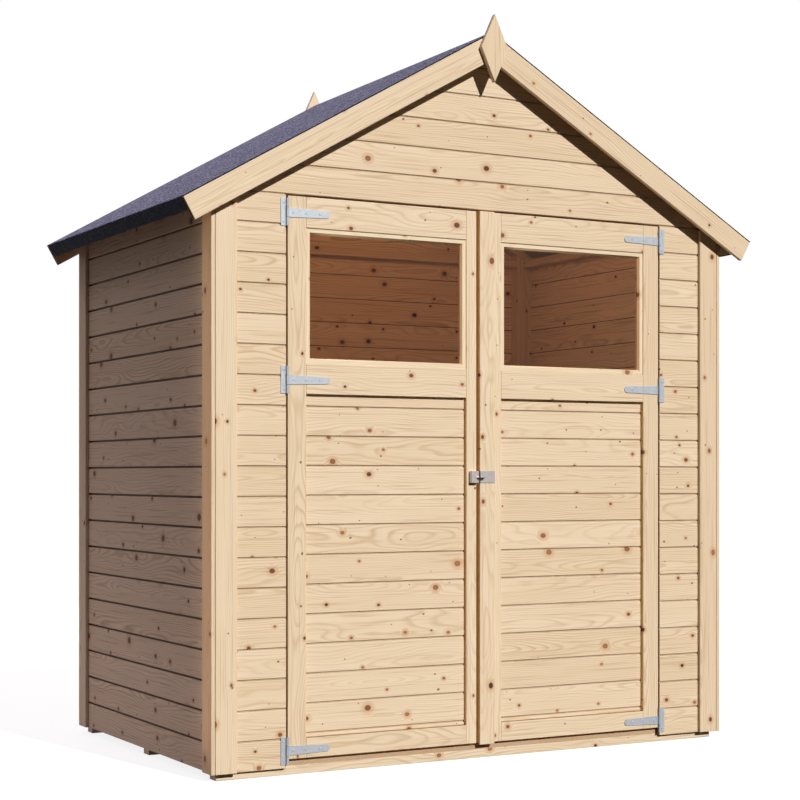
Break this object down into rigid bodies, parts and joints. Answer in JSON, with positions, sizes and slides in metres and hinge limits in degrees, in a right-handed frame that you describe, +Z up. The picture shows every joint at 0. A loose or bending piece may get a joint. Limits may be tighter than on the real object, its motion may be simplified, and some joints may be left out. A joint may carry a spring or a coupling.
{
  "type": "wooden garden shed",
  "caption": "Small boarded pine shed with a felted ridge roof, bargeboards with diamond finials, and a pair of outward-opening half-glazed doors in the front gable.",
  "frame": {"origin": "on the ground, under the middle of the shed's outline", "axes": "+Z up, -Y towards the doors, +X to the right of someone facing the doors"},
  "size_m": [2.03, 1.266, 2.2844],
  "materials": {
    "pine_boards": "planed, untreated",
    "pine_trim": "planed, untreated",
    "rough_pine": "sawn",
    "roofing_felt": "mineral grit",
    "window_glass": "clear",
    "zinc_fittings": "galvanised"
  },
  "bodies": {
    "shed": {"floor_bearers": "rough_pine", "floor_boards": "rough_pine", "front_wall_left": "pine_boards", "front_wall_right": "pine_boards", "front_gable": "pine_boards", "rear_wall": "pine_boards", "left_wall": "pine_boards", "right_wall": "pine_boards", "end_studs": "rough_pine", "end_rails": "rough_pine", "side_studs": "rough_pine", "side_rails": "rough_pine", "left_rafters": "rough_pine", "right_rafters": "rough_pine", "front_trims": "pine_trim", "rear_trims": "pine_trim", "left_trims": "pine_trim", "right_trims": "pine_trim", "roof_deck_left": "rough_pine", "roof_deck_right": "rough_pine", "roof_battens_left": "rough_pine", "roof_battens_right": "rough_pine", "roof_felt_left": "roofing_felt", "roof_felt_right": "roofing_felt", "front_left_bargeboard": "pine_trim", "front_right_bargeboard": "pine_trim", "rear_left_bargeboard": "pine_trim", "rear_right_bargeboard": "pine_trim", "finials": "pine_trim", "left_hinge_plates": "zinc_fittings", "right_hinge_plates": "zinc_fittings"},
    "left_door": {"left_door_stiles": "pine_boards", "left_door_rails": "pine_boards", "left_door_panel": "pine_boards", "left_door_beads": "pine_boards", "left_door_glass": "window_glass", "left_door_straps": "zinc_fittings", "latch_keeper": "zinc_fittings"},
    "right_door": {"right_door_stiles": "pine_boards", "right_door_rails": "pine_boards", "right_door_panel": "pine_boards", "right_door_beads": "pine_boards", "right_door_glass": "window_glass", "right_door_straps": "zinc_fittings", "cover_strip": "pine_trim", "latch_plate": "zinc_fittings"}
  },
  "joints": [
    {"name": "left_door_hinge", "type": "hinge", "parent": "shed", "child": "left_door", "pos_m": [-0.672, -0.5728, 0.9], "axis": [0, 0, -1], "range_deg": [0, 150]},
    {"name": "right_door_hinge", "type": "hinge", "parent": "shed", "child": "right_door", "pos_m": [0.672, -0.5728, 0.9], "axis": [0, 0, 1], "range_deg": [0, 150]}
  ]
}
